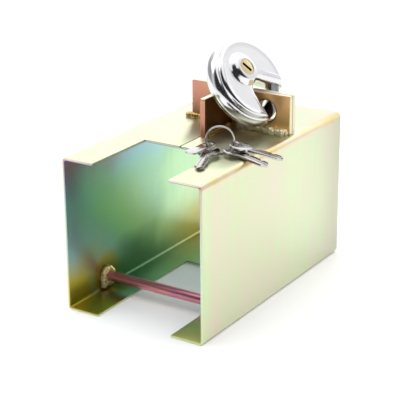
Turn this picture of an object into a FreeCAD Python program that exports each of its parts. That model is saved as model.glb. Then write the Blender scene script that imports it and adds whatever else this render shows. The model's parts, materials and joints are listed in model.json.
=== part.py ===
import FreeCAD, Part
import math
import os

V = FreeCAD.Vector
UP = V(0, 0, 1)

# Coupling lock box: two folded steel halves, open at both ends and held together
# by overlapping lugs and a round padlock. Millimetres. While the pieces are made,
# X runs left to right, Y front to back, Z up, and zero is the middle of the box's
# underside; at the end all pieces move so that zero is the middle under the whole.

# Folded box
BOX_W = 120.0
BOX_L = 205.0
BOX_H = 120.0
SHEET = 2.0
BEND_R = 4.0
SEAM_X = -1.2
SEAM_GAP = 0.8
NOTCH_SIDE = 27.5
TOP_NOTCH_DEPTH = 66.0
BOTTOM_NOTCH_DEPTH = 120.0

# Cross rod and its socket
ROD_D = 8.0
ROD_FROM_FRONT = 45.0
ROD_Z = 12.0
ROD_END_GAP = 4.0
SOCKET_LENGTH = 18.0
SOCKET_WALL = 2.6
SOCKET_CLEARANCE = 0.1
SOCKET_WELD_LEG = 1.0
SOCKET_WELD_LENGTH = 2.0
ROD_WELD_LEG = 3.6
ROD_WELD_LENGTH = 4.5

# Lugs on the top
LUG_T = 4.0
LUG_H = 30.0
LUG_CORNER_R = 1.5
LUG_FROM_FRONT = 131.0
LUG_PLATE_GAP = 0.4
LUG_LIFT = 0.5
LUG_RIGHT_INSET = 5.3
LEFT_LUG_INSET = 24.4
LUG_HOLE_D = 16.4
LUG_HOLE_RIGHT = 0.3
LUG_HOLE_UP = 1.2
GUARD_T = 4.6
GUARD_LENGTH = 38.7
GUARD_CORNER_R = 1.5
WELD_LEG = 4.5
WELD_PAST = 5.0
WELD_SHY = 1.0
WELD_FULLNESS = 0.62
COLLAR_TIP = 0.3

# Padlock pose: the disc leans to the left, faces a little forward, and its notch is turned
# to the back
PADLOCK_X = 17.58
PADLOCK_BEFORE_LUG = 3.0
PADLOCK_OVER_TOP = 36.19
PADLOCK_LEAN = 35.8
PADLOCK_YAW = 5.4
PADLOCK_NOTCH_TURN = 29.0

# Padlock body
DISC_R = 35.0
DISC_HALF_T = 8.8
PRESSED_T = 1.5
RIM_FLAT = 3.2
RIM_R = 2.7
LEDGE_W = 0.4
SHOULDER_R = 2.7
SHELL_SPLIT = 0.1
NOTCH_R = 9.9
NOTCH_CENTRE = 14.0
NOTCH_FLARE_DEG = 30.0
NOTCH_LIP_R = 6.5
CASE_CLEARANCE = 0.1

# Shackle
SHACKLE_R = 27.6
SHACKLE_D = 10.0
SHACKLE_TIP_DEG = 48.0
SHACKLE_TAIL_DEG = -143.0
SHACKLE_TURN_DEG = 84.8
CHANNEL_CLEARANCE = 0.1
PORT_CLEARANCE = 0.2
CHANNEL_END_DEG = 2.5
CHANNEL_START_DEG = 20.0
PORT_HALF_DEG = 60.0

# Lock cylinder
CYL_OFFSET = 10.3
PLUG_R = 6.5
PLUG_CLEARANCE = 0.05
PLUG_PROUD = 4.4
PLUG_COLLAR_R = 6.9
PLUG_COLLAR_H = 1.0
COLLAR_CLEARANCE = 0.1
HOUSING_R = 7.5
HOUSING_CLEARANCE = 0.1
HOUSING_BACK_Z = -0.9
BOSS_BASE_R = 13.2
BOSS_TOP_R = 9.6
BOSS_H = 4.6
BOSS_NOTCH_GAP = 0.8
BOSS_HOLE_CLEARANCE = 0.15
KEYWAY_W = 2.4
KEYWAY_H = 9.0
KEYWAY_DEPTH = 9.0
TAIL_SIDE = 5.0
TAIL_CLEARANCE = 0.05
CAM_T = 1.6
CAM_GAP = 0.3
CAM_HUB_R = 5.0
CAM_EYE_R = 2.0
CRANK_R = 9.0
CRANK_DEG = 272.9
PIN_R = 1.5
PIN_LENGTH = 2.9
FORK_DEG = 222.4
FORK_T = 2.2
FORK_GAP = 0.4
FORK_HALF_W = 4.2
FORK_IN_R = 12.0
FORK_SLOT_END_R = 21.2
FORK_SLOT_CLEARANCE = 0.3
POCKET_CLEARANCE = 0.3
POCKET_PAST_EYE = 1.4
FORK_SWEEP_IN = 1.5
FORK_SWEEP_OUT = 1.0
FORK_SWEEP_SIDE = 1.0
SCREW_R = 1.5
SCREW_HEAD_R = 2.4
SCREW_HEAD_H = 0.9
SCREW_LENGTH = 5.0

# Keys, tag and split ring
RING_X = 33.8
RING_FROM_FRONT = 65.3
RING_HEADING = 31.4
RING_R = 10.0
RING_WIRE_R = 1.6
RING_WIRE_W = 2.6
RING_GROOVE = 0.4
RING_LIFT = 0.2
KEY_T = 2.0
KEY_HOLE_R = 3.6
KEY_BOW_R = 8.0
KEY_BOW_AHEAD = 5.2
KEY_BLADE_W = 7.0
KEY_REACH = 38.0
KEY_CUT = 1.8
KEY_CUTS = 5
KEY_FIRST_CUT = 5.0
KEY_LAST_CUT = 1.0
KEY_GROOVE_START = 1.5
KEY_GROOVE_DEPTH = 0.6
KEY_LOW = 2.6
KEY_HIGH = 6.4
TAG_LENGTH = 21.0
TAG_W = 9.5
TAG_T = 1.2
TAG_BACK = 2.0
TAG_CORNER_R = 3.0

# How far cutting tools reach past what they cut
PAST = 10.0
FAR = 60.0

# Derived values
X0 = -BOX_W / 2
X1 = BOX_W / 2
Y0 = -BOX_L / 2
Y1 = BOX_L / 2
TOP = BOX_H
SEAM_L = SEAM_X - SEAM_GAP / 2
SEAM_R = SEAM_X + SEAM_GAP / 2


def block(x0, y0, z0, x1, y1, z1):
    return Part.makeBox(x1 - x0, y1 - y0, z1 - z0, V(x0, y0, z0))


def rod(p, d, r, length):
    return Part.makeCylinder(r, length, p, d)


def edges_where(shape, test):
    found = []
    for edge in shape.Edges:
        if len(edge.Vertexes) == 2 and all(test(v.Point) for v in edge.Vertexes):
            found.append(edge)
    return found


def near(a, b):
    return abs(a - b) < 1e-6


def channel_solid(x_wall, x_seam, y_front, y_back, z_low, z_high, r):
    """Solid with its two wall-to-flange edges rounded."""
    solid = block(min(x_wall, x_seam), y_front, z_low, max(x_wall, x_seam), y_back, z_high)
    bends = edges_where(solid, lambda p: near(p.x, x_wall) and near(p.z, z_low))
    bends += edges_where(solid, lambda p: near(p.x, x_wall) and near(p.z, z_high))
    return solid.makeFillet(r, bends)


def half_shell(side):
    """One folded half; side is -1 for the left and +1 for the right."""
    x_wall = side * BOX_W / 2
    x_seam = SEAM_L if side < 0 else SEAM_R
    outer = channel_solid(x_wall, x_seam, Y0, Y1, 0, TOP, BEND_R)
    inner = channel_solid(x_wall - side * SHEET, x_seam - side * PAST, Y0 - PAST, Y1 + PAST,
                          SHEET, TOP - SHEET, BEND_R - SHEET)
    shell = outer.cut(inner)
    cut_side = side * (BOX_W / 2 - NOTCH_SIDE)
    low = min(cut_side, x_seam - side * PAST)
    high = max(cut_side, x_seam - side * PAST)
    shell = shell.cut(block(low, Y0 - PAST, TOP - PAST, high, Y0 + TOP_NOTCH_DEPTH, TOP + PAST))
    shell = shell.cut(block(low, Y0 - PAST, -PAST, high, Y0 + BOTTOM_NOTCH_DEPTH, PAST))
    return shell


def upright_plate(x0, x1, y0, z0, z1, t, r):
    """Plate across the box with its two upper corners rounded."""
    plate = block(x0, y0, z0, x1, y0 + t, z1)
    tops = edges_where(plate, lambda p: near(p.z, z1) and (near(p.x, x0) or near(p.x, x1)))
    tops = [e for e in tops if near(e.Vertexes[0].Point.x, e.Vertexes[1].Point.x)]
    return plate.makeFillet(r, tops)


def bead(p0, along, out, length, leg):
    """Fillet weld: rounded three-sided bead from p0 along a base line."""
    up = V(0, 0, 1)
    a = p0
    b = p0 + out * leg
    c = p0 + up * leg
    m = p0 + (out + up) * (leg * WELD_FULLNESS)
    arc = Part.Arc(b, m, c).toShape()
    face = Part.Face(Part.Wire([Part.makeLine(a, b), arc, Part.makeLine(c, a)]))
    return face.extrude(along * length)


def ring_weld(p, d, r, leg, length):
    """Weld collar around a rod where it meets a wall at p."""
    cone = Part.makeCone(r + leg, r + leg * COLLAR_TIP, length, p, d)
    return cone.cut(rod(p, d, r, length))


# Padlock, made flat: its own x points into the notch, z out of its face
def turned(points_and_arcs, centre_x=0.0):
    """Solid of revolution about the upright line at centre_x from an (r, z) outline."""
    edges = []
    for item in points_and_arcs:
        pts = [V(centre_x + r, 0, z) for r, z in item]
        if len(pts) == 2:
            edges.append(Part.makeLine(pts[0], pts[1]))
        else:
            edges.append(Part.Arc(pts[0], pts[1], pts[2]).toShape())
    face = Part.Face(Part.Wire(edges))
    return face.revolve(V(centre_x, 0, 0), V(0, 0, 1), 360)


def quarter(cx, cz, r, start_deg, end_deg):
    mid = math.radians((start_deg + end_deg) / 2)
    a = math.radians(start_deg)
    b = math.radians(end_deg)
    return [(cx + r * math.cos(a), cz + r * math.sin(a)),
            (cx + r * math.cos(mid), cz + r * math.sin(mid)),
            (cx + r * math.cos(b), cz + r * math.sin(b))]


def disc_half(off):
    """Front half of the disc, drawn in by off from its outside."""
    rim_c = DISC_R - RIM_R
    ledge_z = RIM_FLAT + RIM_R - off
    step_r = rim_c - LEDGE_W - off
    shoulder_c = rim_c - LEDGE_W - SHOULDER_R
    shoulder_z = DISC_HALF_T - SHOULDER_R
    base = SHELL_SPLIT / 2
    return turned([
        [(0, base), (DISC_R - off, base)],
        [(DISC_R - off, base), (DISC_R - off, RIM_FLAT)],
        quarter(rim_c, RIM_FLAT, RIM_R - off, 0, 90),
        [(rim_c, ledge_z), (step_r, ledge_z)],
        [(step_r, ledge_z), (step_r, shoulder_z)],
        quarter(shoulder_c, shoulder_z, SHOULDER_R - off, 0, 90),
        [(shoulder_c, DISC_HALF_T - off), (0, DISC_HALF_T - off)],
        [(0, DISC_HALF_T - off), (0, base)],
    ])


def notch_tool(off):
    """What the notch takes away in the front half; off widens it."""
    r = NOTCH_R + off
    lip_c = NOTCH_R + NOTCH_LIP_R
    lip_z = DISC_HALF_T - NOTCH_LIP_R
    high = DISC_HALF_T + PAST
    lip = quarter(lip_c, lip_z, NOTCH_LIP_R - off, 180, 90)
    outline = [
        [(0, -1.0), (r, -1.0)],
        [(r, -1.0), (r, lip_z)],
        lip,
        [lip[2], (lip_c, high)],
        [(lip_c, high), (0, high)],
        [(0, high), (0, -1.0)],
    ]
    tool = turned(outline, NOTCH_CENTRE)
    centre = V(NOTCH_CENTRE, 0, 0)
    wedge = Part.makeCylinder(FAR, high + 1.0, centre - UP, UP, 2 * NOTCH_FLARE_DEG)
    wedge.rotate(centre, UP, -NOTCH_FLARE_DEG)
    tool = tool.fuse(wedge)
    for mirror in (1, -1):
        edges = []
        for item in outline:
            pts = [V(NOTCH_CENTRE, mirror * y, z) for y, z in item]
            if len(pts) == 2:
                edges.append(Part.makeLine(pts[0], pts[1]))
            else:
                edges.append(Part.Arc(pts[0], pts[1], pts[2]).toShape())
        side = Part.Face(Part.Wire(edges)).extrude(V(FAR, 0, 0))
        side.rotate(centre, UP, mirror * NOTCH_FLARE_DEG)
        tool = tool.fuse(side)
    return tool.removeSplitter()


def ring_arc(r, tube, start_deg, end_deg):
    """Bent round bar of centre radius r between two angles."""
    face = Part.Face(Part.Wire(Part.makeCircle(tube, V(r, 0, 0), V(0, 1, 0))))
    bar = face.revolve(V(0, 0, 0), V(0, 0, 1), end_deg - start_deg)
    bar.rotate(V(0, 0, 0), V(0, 0, 1), start_deg)
    return bar


def at_deg(r, deg, z):
    return V(r * math.cos(math.radians(deg)), r * math.sin(math.radians(deg)), z)


def back_of(shape):
    return shape.mirror(V(0, 0, 0), V(0, 0, 1))


CYL_AXIS = V(-CYL_OFFSET, 0, 0)
INNER_Z = DISC_HALF_T - PRESSED_T
CAM_FRONT_Z = HOUSING_BACK_Z - CAM_GAP
CAM_BACK_Z = CAM_FRONT_Z - CAM_T
FORK_FRONT_Z = CAM_BACK_Z - FORK_GAP
FORK_BACK_Z = FORK_FRONT_Z - FORK_T
PIN_BACK_Z = CAM_BACK_Z - PIN_LENGTH
POCKET_BACK_Z = PIN_BACK_Z - POCKET_CLEARANCE


def at_cyl(z):
    return V(-CYL_OFFSET, 0, z)


def padlock_pieces():
    pieces = {}
    tube = SHACKLE_D / 2
    cavity = disc_half(PRESSED_T).cut(notch_tool(PRESSED_T))
    body = disc_half(0).cut(notch_tool(0))
    port = ring_arc(SHACKLE_R, tube + PORT_CLEARANCE, -PORT_HALF_DEG, PORT_HALF_DEG)
    boss = Part.makeCone(BOSS_BASE_R, BOSS_TOP_R, BOSS_H, at_cyl(DISC_HALF_T), UP)
    foot = rod(at_cyl(DISC_HALF_T - NOTCH_LIP_R), UP, BOSS_BASE_R, NOTCH_LIP_R)
    boss = boss.fuse(foot).cut(rod(V(NOTCH_CENTRE, 0, 0), UP, NOTCH_R + BOSS_NOTCH_GAP, FAR))
    boss_hole = rod(at_cyl(0), UP, PLUG_R + BOSS_HOLE_CLEARANCE, FAR)
    housing_space = rod(at_cyl(0), UP, HOUSING_R + HOUSING_CLEARANCE, INNER_Z)
    front = body.fuse(boss).removeSplitter().cut(cavity)
    front = front.cut(housing_space).cut(port).cut(boss_hole)
    rear = back_of(body.cut(cavity)).cut(port)
    pieces["padlock_front_shell"] = front
    pieces["padlock_rear_shell"] = rear

    # Case halves with the shackle channel, the cylinder bore and the cam pocket
    filling = disc_half(PRESSED_T + CASE_CLEARANCE).cut(notch_tool(PRESSED_T + CASE_CLEARANCE))
    groove = tube + CHANNEL_CLEARANCE
    long_channel = ring_arc(SHACKLE_R, groove, SHACKLE_TAIL_DEG - SHACKLE_TURN_DEG - CHANNEL_END_DEG,
                            -CHANNEL_START_DEG)
    short_channel = ring_arc(SHACKLE_R, groove, CHANNEL_START_DEG, SHACKLE_TIP_DEG + CHANNEL_END_DEG)
    bore = rod(at_cyl(-FAR), UP, HOUSING_R + HOUSING_CLEARANCE, 2 * FAR)
    case_front = filling.cut(long_channel).cut(short_channel).cut(bore)
    case_rear = back_of(filling).cut(long_channel).cut(short_channel)
    seat_depth = abs(HOUSING_BACK_Z)
    case_rear = case_rear.cut(rod(at_cyl(-seat_depth), UP, HOUSING_R + HOUSING_CLEARANCE, seat_depth))
    sweep_r = CRANK_R + CAM_EYE_R + POCKET_CLEARANCE
    pocket_h = abs(POCKET_BACK_Z)
    crank_sweep = rod(at_cyl(POCKET_BACK_Z), UP, sweep_r, pocket_h)
    crank_side = block(-FAR, -FAR, POCKET_BACK_Z, -CYL_OFFSET + CAM_EYE_R + POCKET_PAST_EYE, FAR, 0)
    hub_sweep = rod(at_cyl(POCKET_BACK_Z), UP, CAM_HUB_R + POCKET_CLEARANCE, pocket_h)
    case_rear = case_rear.cut(crank_sweep.common(crank_side)).cut(hub_sweep)
    fork_space_h = FORK_T + 2 * POCKET_CLEARANCE
    fork_space = rod(V(0, 0, FORK_BACK_Z - POCKET_CLEARANCE), UP, SHACKLE_R + FORK_SWEEP_OUT, fork_space_h)
    sweep_in = FORK_IN_R - FORK_SWEEP_IN
    fork_space = fork_space.cut(rod(V(0, 0, -FAR), UP, sweep_in, 2 * FAR))
    swing = 180 - FORK_DEG
    spread = math.degrees(math.asin((FORK_HALF_W + FORK_SWEEP_SIDE) / sweep_in))
    half_open = abs(swing) + spread
    wedge = Part.makeCylinder(2 * FAR, 2 * FAR, V(0, 0, -FAR), UP, 2 * half_open)
    wedge.rotate(V(0, 0, 0), UP, 180 - half_open)
    case_rear = case_rear.cut(fork_space.common(wedge))
    pieces["case_front"] = case_front
    pieces["case_rear"] = case_rear

    # Shackle with its drive fork
    bar = ring_arc(SHACKLE_R, tube, SHACKLE_TAIL_DEG, SHACKLE_TIP_DEG)
    fork = block(FORK_IN_R, -FORK_HALF_W, FORK_BACK_Z, SHACKLE_R, FORK_HALF_W, FORK_FRONT_Z)
    slot_half = PIN_R + FORK_SLOT_CLEARANCE
    fork = fork.cut(block(0, -slot_half, -FAR, FORK_SLOT_END_R - slot_half, slot_half, FAR))
    fork = fork.cut(rod(V(FORK_SLOT_END_R - slot_half, 0, -FAR), UP, slot_half, 2 * FAR))
    fork.rotate(V(0, 0, 0), UP, FORK_DEG)
    pieces["shackle"] = bar.fuse(fork).removeSplitter()

    # Cylinder: housing, plug, cam and the cam's screw
    housing = rod(at_cyl(HOUSING_BACK_Z), UP, HOUSING_R, INNER_Z - HOUSING_CLEARANCE - HOUSING_BACK_Z)
    housing = housing.cut(rod(at_cyl(-FAR), UP, PLUG_R + PLUG_CLEARANCE, 2 * FAR))
    collar_top = INNER_Z - HOUSING_CLEARANCE
    collar_low = collar_top - PLUG_COLLAR_H
    collar_seat = at_cyl(collar_low - COLLAR_CLEARANCE)
    housing = housing.cut(rod(collar_seat, UP, PLUG_COLLAR_R + COLLAR_CLEARANCE, FAR))
    pieces["cylinder_housing"] = housing
    plug_top = DISC_HALF_T + PLUG_PROUD
    plug = rod(at_cyl(HOUSING_BACK_Z), UP, PLUG_R, plug_top - HOUSING_BACK_Z)
    plug = plug.fuse(rod(at_cyl(collar_low), UP, PLUG_COLLAR_R, PLUG_COLLAR_H))
    half_tail = TAIL_SIDE / 2
    plug = plug.fuse(block(-CYL_OFFSET - half_tail, -half_tail, CAM_BACK_Z,
                           -CYL_OFFSET + half_tail, half_tail, HOUSING_BACK_Z))
    plug = plug.cut(block(-CYL_OFFSET - KEYWAY_H / 2, -KEYWAY_W / 2, plug_top - KEYWAY_DEPTH,
                          -CYL_OFFSET + KEYWAY_H / 2, KEYWAY_W / 2, FAR))
    screw_space = rod(at_cyl(CAM_BACK_Z), UP, SCREW_R, SCREW_LENGTH)
    head = Part.makeCone(SCREW_HEAD_R, SCREW_R, SCREW_HEAD_H, at_cyl(CAM_BACK_Z), UP)
    plug = plug.cut(screw_space).cut(head)
    pieces["cylinder_plug"] = plug.removeSplitter()
    screw = rod(at_cyl(CAM_BACK_Z), UP, SCREW_R, SCREW_LENGTH).fuse(head)
    pieces["cam_screw"] = screw.removeSplitter()
    eye = at_deg(CRANK_R, CRANK_DEG, 0)
    cam = rod(at_cyl(CAM_BACK_Z), UP, CAM_HUB_R, CAM_T)
    eye_at = V(eye.x - CYL_OFFSET, eye.y, CAM_BACK_Z)
    cam = cam.fuse(rod(eye_at, UP, CAM_EYE_R, CAM_T))
    arm = block(0, -CAM_EYE_R, CAM_BACK_Z, CRANK_R, CAM_EYE_R, CAM_FRONT_Z)
    arm.rotate(V(0, 0, 0), UP, CRANK_DEG)
    arm.translate(CYL_AXIS)
    cam = cam.fuse(arm)
    half_hole = half_tail + TAIL_CLEARANCE
    cam = cam.cut(block(-CYL_OFFSET - half_hole, -half_hole, -FAR, -CYL_OFFSET + half_hole, half_hole, FAR))
    cam = cam.fuse(rod(V(eye_at.x, eye_at.y, PIN_BACK_Z), UP, PIN_R, CAM_FRONT_Z - PIN_BACK_Z))
    pieces["drive_cam"] = cam.removeSplitter()
    return pieces


LEAN = math.radians(PADLOCK_LEAN)
TURN = math.radians(PADLOCK_NOTCH_TURN)
YAW = math.radians(PADLOCK_YAW)
LEANING_N = V(math.cos(LEAN), 0, math.sin(LEAN))
DOWN_E = V(math.sin(LEAN), 0, -math.cos(LEAN))
FACE_N = LEANING_N * math.cos(YAW) - V(0, 1, 0) * math.sin(YAW)
BACK_E = V(0, 1, 0) * math.cos(YAW) + LEANING_N * math.sin(YAW)
LUG_Y = Y0 + LUG_FROM_FRONT
LUG_MID_Y = LUG_Y + LUG_T + LUG_PLATE_GAP / 2
CENTRE = V(PADLOCK_X, LUG_Y - PADLOCK_BEFORE_LUG, TOP + PADLOCK_OVER_TOP)
LX = BACK_E * math.sin(TURN) + DOWN_E * math.cos(TURN)
LY = BACK_E * math.cos(TURN) - DOWN_E * math.sin(TURN)
POSE = FreeCAD.Placement(FreeCAD.Matrix(
    LX.x, LY.x, FACE_N.x, CENTRE.x,
    LX.y, LY.y, FACE_N.y, CENTRE.y,
    LX.z, LY.z, FACE_N.z, CENTRE.z,
    0, 0, 0, 1))


def shackle_through():
    """Middle of the shackle where it crosses the lugs."""
    back = (LUG_MID_Y - CENTRE.y) / BACK_E.y
    down = math.sqrt(SHACKLE_R ** 2 - back ** 2)
    return CENTRE + BACK_E * back + DOWN_E * down


THROUGH = shackle_through()


def lug_pieces():
    pieces = {}
    x_end = X1 - LUG_RIGHT_INSET
    z1 = TOP + LUG_H
    hole_at = V(THROUGH.x + LUG_HOLE_RIGHT, LUG_Y - FAR, THROUGH.z + LUG_HOLE_UP)
    hole = rod(hole_at, V(0, 1, 0), LUG_HOLE_D / 2, 2 * FAR)
    front = upright_plate(SEAM_R, x_end, LUG_Y, TOP, z1, LUG_T, LUG_CORNER_R)
    pieces["right_lug"] = front.cut(hole)
    rear_y = LUG_Y + LUG_T + LUG_PLATE_GAP
    rear = upright_plate(X0 + LEFT_LUG_INSET, x_end, rear_y, TOP, z1, LUG_T, LUG_CORNER_R)
    under = block(SEAM_L, rear_y - PAST, TOP - PAST, x_end + PAST, rear_y + LUG_T + PAST, TOP + LUG_LIFT)
    rear = rear.cut(under)
    pieces["left_lug"] = rear.cut(hole)
    guard_front = LUG_Y - GUARD_LENGTH
    guard = block(SEAM_R, guard_front, TOP, SEAM_R + GUARD_T, LUG_Y, z1)
    tops = edges_where(guard, lambda p: near(p.z, z1) and near(p.y, guard_front))
    pieces["guard_plate"] = guard.makeFillet(GUARD_CORNER_R, tops)
    weld_x = SEAM_R + GUARD_T
    pieces["right_lug_weld"] = bead(V(weld_x + WELD_LEG, LUG_Y, TOP), V(1, 0, 0), V(0, -1, 0),
                                    x_end - weld_x - WELD_LEG, WELD_LEG)
    pieces["guard_weld"] = bead(V(weld_x, guard_front, TOP), V(0, 1, 0), V(1, 0, 0),
                                GUARD_LENGTH - WELD_LEG, WELD_LEG)
    left_end = X0 + LEFT_LUG_INSET
    pieces["left_lug_weld"] = bead(V(left_end - WELD_PAST, rear_y, TOP), V(1, 0, 0), V(0, -1, 0),
                                   SEAM_L - WELD_SHY - left_end + WELD_PAST, WELD_LEG)
    return pieces


def key_plate():
    """Flat key: ring hole at zero, blade along x, plate from z = 0 up."""
    bow = rod(V(KEY_BOW_AHEAD, 0, 0), UP, KEY_BOW_R, KEY_T)
    shank = block(KEY_BOW_AHEAD, -KEY_BLADE_W / 2, 0, KEY_REACH - KEY_BLADE_W / 2, KEY_BLADE_W / 2, KEY_T)
    half = KEY_BLADE_W / 2
    tip_x = KEY_REACH - half
    tip = Part.Face(Part.makePolygon([V(tip_x, -half, 0), V(KEY_REACH, -half * 0.3, 0),
                                      V(KEY_REACH, half * 0.3, 0), V(tip_x, half, 0), V(tip_x, -half, 0)]))
    plate = bow.fuse(shank).fuse(tip.extrude(V(0, 0, KEY_T))).removeSplitter()
    neck = KEY_BOW_AHEAD + KEY_BOW_R
    first = neck + KEY_FIRST_CUT
    pitch = (tip_x - KEY_LAST_CUT - first) / (KEY_CUTS - 1)
    for i in range(KEY_CUTS):
        depth = KEY_CUT * (0.55 + 0.45 * math.cos(2.1 * i))
        x = first + i * pitch
        open_half = depth * 1.1
        bite = Part.Face(Part.makePolygon([V(x - open_half, half, 0), V(x, half - depth, 0),
                                           V(x + open_half, half, 0), V(x - open_half, half, 0)]))
        plate = plate.cut(bite.extrude(V(0, 0, KEY_T)))
    groove = block(neck + KEY_GROOVE_START, -half * 0.45, KEY_T - KEY_GROOVE_DEPTH,
                   KEY_REACH + PAST, -half * 0.05, KEY_T + PAST)
    plate = plate.cut(groove)
    return plate.cut(rod(V(0, 0, -PAST), UP, KEY_HOLE_R, FAR))


def tag_plate():
    half = TAG_W / 2
    plate = block(-KEY_HOLE_R - TAG_BACK, -half, 0, TAG_LENGTH, half, TAG_T)
    corners = edges_where(plate, lambda p: True)
    corners = [e for e in corners if near(e.Vertexes[0].Point.x, e.Vertexes[1].Point.x)
               and near(e.Vertexes[0].Point.y, e.Vertexes[1].Point.y)]
    plate = plate.makeFillet(TAG_CORNER_R, corners)
    return plate.cut(rod(V(0, 0, -PAST), UP, KEY_HOLE_R, FAR))


def laid(plate, at, heading_deg, droop_deg):
    out = plate.copy()
    out.rotate(V(0, 0, 0), V(0, 1, 0), droop_deg)
    out.rotate(V(0, 0, 0), UP, heading_deg)
    out.translate(at)
    return out


RING_C = V(RING_X, Y0 + RING_FROM_FRONT, TOP + RING_LIFT + RING_R + RING_WIRE_R / 2)
RING_ALONG = V(math.cos(math.radians(RING_HEADING)), math.sin(math.radians(RING_HEADING)), 0)


def on_ring(height, side):
    """Where the ring's wire crosses a height over the top, left (-1) or right (+1)."""
    drop = RING_C.z - (TOP + height)
    half = math.sqrt(RING_R ** 2 - drop ** 2)
    return V(RING_C.x, RING_C.y, TOP + height) + RING_ALONG * (half * side)


KEY_PLACES = {
    "key_1": (1, KEY_HIGH, 13.6, 11.2),
    "key_2": (1, KEY_LOW, -13.6, 5.0),
    "key_3": (-1, KEY_LOW, -71.0, 2.6),
}
TAG_PLACE = (-1, KEY_HIGH, -96.0, 2.0)


def bunch_pieces():
    pieces = {}
    width = RING_WIRE_W
    low = RING_R - RING_WIRE_R / 2
    wire = Part.makeCylinder(low + RING_WIRE_R, width, V(0, 0, -width / 2), UP)
    wire = wire.cut(Part.makeCylinder(low, 2 * FAR, V(0, 0, -FAR), UP))
    split = Part.makeCylinder(low + RING_WIRE_R + PAST, RING_GROOVE, V(0, 0, -RING_GROOVE / 2), UP)
    split = split.cut(Part.makeCylinder(low + RING_WIRE_R - RING_GROOVE, width, V(0, 0, -width / 2), UP))
    wire = wire.cut(split)
    wire.rotate(V(0, 0, 0), V(1, 0, 0), 90)
    wire.rotate(V(0, 0, 0), UP, RING_HEADING)
    wire.translate(RING_C)
    pieces["key_ring"] = wire
    for name, (side, height, heading, droop) in KEY_PLACES.items():
        at = on_ring(height + KEY_T / 2, side) - UP * (KEY_T / 2)
        pieces[name] = laid(key_plate(), at, heading, droop)
    side, height, heading, droop = TAG_PLACE
    at = on_ring(height + TAG_T / 2, side) - UP * (TAG_T / 2)
    pieces["key_tag"] = laid(tag_plate(), at, heading, droop)
    return pieces


def box_pieces():
    pieces = {"left_shell": half_shell(-1), "right_shell": half_shell(1)}
    y = Y0 + ROD_FROM_FRONT
    wall_l = X0 + SHEET
    wall_r = X1 - SHEET
    along = V(1, 0, 0)
    start = V(wall_l, y, ROD_Z)
    pieces["retaining_rod"] = rod(start, along, ROD_D / 2, wall_r - ROD_END_GAP - wall_l)
    pieces["rod_weld"] = ring_weld(start, along, ROD_D / 2, ROD_WELD_LEG, ROD_WELD_LENGTH)
    inside = ROD_D / 2 + SOCKET_CLEARANCE
    at = V(wall_r, y, ROD_Z)
    socket = rod(at, -along, inside + SOCKET_WALL, SOCKET_LENGTH)
    pieces["rod_socket"] = socket.cut(rod(at, -along, inside, SOCKET_LENGTH))
    pieces["socket_weld"] = ring_weld(at, -along, inside + SOCKET_WALL, SOCKET_WELD_LEG,
                                      SOCKET_WELD_LENGTH)
    return pieces


parts = {}
parts.update(box_pieces())
parts.update(lug_pieces())
for name, shape in padlock_pieces().items():
    shape.Placement = POSE.multiply(shape.Placement)
    parts[name] = shape
parts.update(bunch_pieces())

whole = FreeCAD.BoundBox()
for shape in parts.values():
    whole.add(shape.optimalBoundingBox(False))
ORIGIN = V((whole.XMin + whole.XMax) / 2, (whole.YMin + whole.YMax) / 2, whole.ZMin)

os.makedirs("parts", exist_ok=True)
for name, shape in parts.items():
    shape.translate(-ORIGIN)
    if len(shape.Solids) == 1:
        shape = shape.Solids[0]
    shape.exportStep(os.path.join("parts", name + ".step"))
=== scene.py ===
"""Coupling lock box: two folded, zinc-plated halves with welded lugs, a round padlock and its keys."""

import json
import math

import bmesh
import bpy
from mathutils import Matrix, Vector


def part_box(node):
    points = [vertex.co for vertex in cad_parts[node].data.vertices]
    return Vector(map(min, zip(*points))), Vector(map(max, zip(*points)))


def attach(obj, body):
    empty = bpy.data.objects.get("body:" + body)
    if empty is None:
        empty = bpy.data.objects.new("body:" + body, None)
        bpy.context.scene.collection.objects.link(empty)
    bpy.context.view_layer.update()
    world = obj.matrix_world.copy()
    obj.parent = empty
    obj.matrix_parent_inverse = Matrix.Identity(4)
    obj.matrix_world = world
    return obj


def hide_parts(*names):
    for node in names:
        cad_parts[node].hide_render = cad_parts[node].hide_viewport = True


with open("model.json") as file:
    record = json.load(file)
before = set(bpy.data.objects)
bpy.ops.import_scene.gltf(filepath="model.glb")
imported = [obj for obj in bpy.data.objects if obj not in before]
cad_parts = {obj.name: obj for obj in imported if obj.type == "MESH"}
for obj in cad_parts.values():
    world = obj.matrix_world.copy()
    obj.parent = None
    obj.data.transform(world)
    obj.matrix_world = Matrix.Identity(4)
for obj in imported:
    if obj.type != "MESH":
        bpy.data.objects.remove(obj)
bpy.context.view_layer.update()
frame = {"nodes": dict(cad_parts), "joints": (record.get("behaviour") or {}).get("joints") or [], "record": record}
RECORD = frame["record"]
JOINTS = {joint["name"]: joint for joint in frame["joints"]}
BODY_OF = {node: body for body, nodes in RECORD["behaviour"]["bodies"].items() for node in nodes}

# The box's outside faces
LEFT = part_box("left_shell")[0].x
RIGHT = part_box("right_shell")[1].x
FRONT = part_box("left_shell")[0].y
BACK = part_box("left_shell")[1].y
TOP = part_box("left_shell")[1].z
WIDTH = RIGHT - LEFT

# Where the rod is welded to the left wall, and the axis of the hole in the lugs, across and up
ROD_WELD_AT = (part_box("rod_weld")[0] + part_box("rod_weld")[1]) / 2
LUG_HOLE_AT = (0.0248, 0.1362)

# The padlock's middle, and the way its face looks
PADLOCK_CENTRE = Vector(JOINTS["shackle_turn"]["pos_m"])
FACE_OUT = -Vector(JOINTS["shackle_turn"]["axis"]).normalized()

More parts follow.
